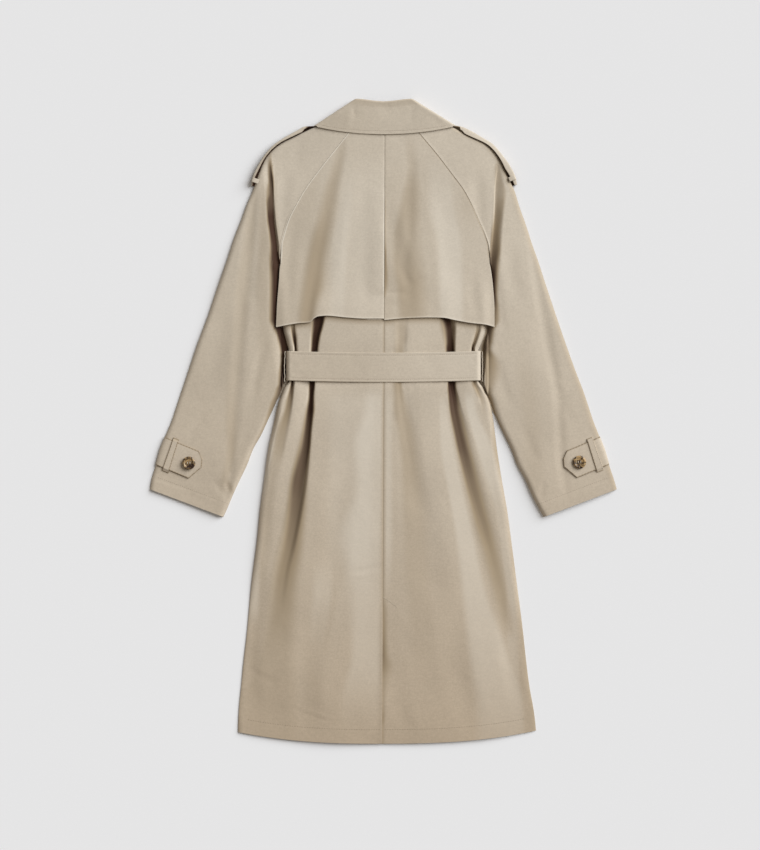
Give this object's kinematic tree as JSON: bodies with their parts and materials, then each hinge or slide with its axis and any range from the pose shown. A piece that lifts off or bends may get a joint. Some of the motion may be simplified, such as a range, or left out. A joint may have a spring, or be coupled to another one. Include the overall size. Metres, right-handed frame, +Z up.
{
  "type": "trench coat laid flat",
  "caption": "Belted trench coat laid flat with its back upwards: raglan sleeves, storm flap, epaulettes, collar, sleeve straps with buttons, back vent.",
  "frame": {"origin": "on the surface the coat lies on, under the middle of its overall box", "axes": "+Y towards the collar, +Z up out of the surface, +X to the right seen from above (the wearer's right)"},
  "size_m": [0.7935, 1.0936, 0.0167],
  "materials": {
    "coat_cloth": "beige cotton gabardine, fine twill, matt with a faint sheen",
    "button_horn": "mottled brown horn-look resin, polished"
  },
  "bodies": {
    "root": {"back_left": "coat_cloth", "back_right": "coat_cloth", "flap_left": "coat_cloth", "flap_right": "coat_cloth", "flap_tab": "coat_cloth", "sleeve_back_left": "coat_cloth", "sleeve_back_right": "coat_cloth", "sleeve_front_left": "coat_cloth", "sleeve_front_right": "coat_cloth", "front_left": "coat_cloth", "front_right": "coat_cloth", "collar_fall": "coat_cloth", "collar_stand": "coat_cloth", "belt": "coat_cloth", "belt_loop_left": "coat_cloth", "belt_loop_right": "coat_cloth", "epaulette_left": "coat_cloth", "epaulette_right": "coat_cloth", "epaulette_loop_left": "coat_cloth", "epaulette_loop_right": "coat_cloth", "sleeve_strap_left": "coat_cloth", "sleeve_strap_right": "coat_cloth", "strap_loop_left": "coat_cloth", "strap_loop_right": "coat_cloth", "strap_button_left": "button_horn", "strap_button_right": "button_horn"}
  },
  "joints": []
}
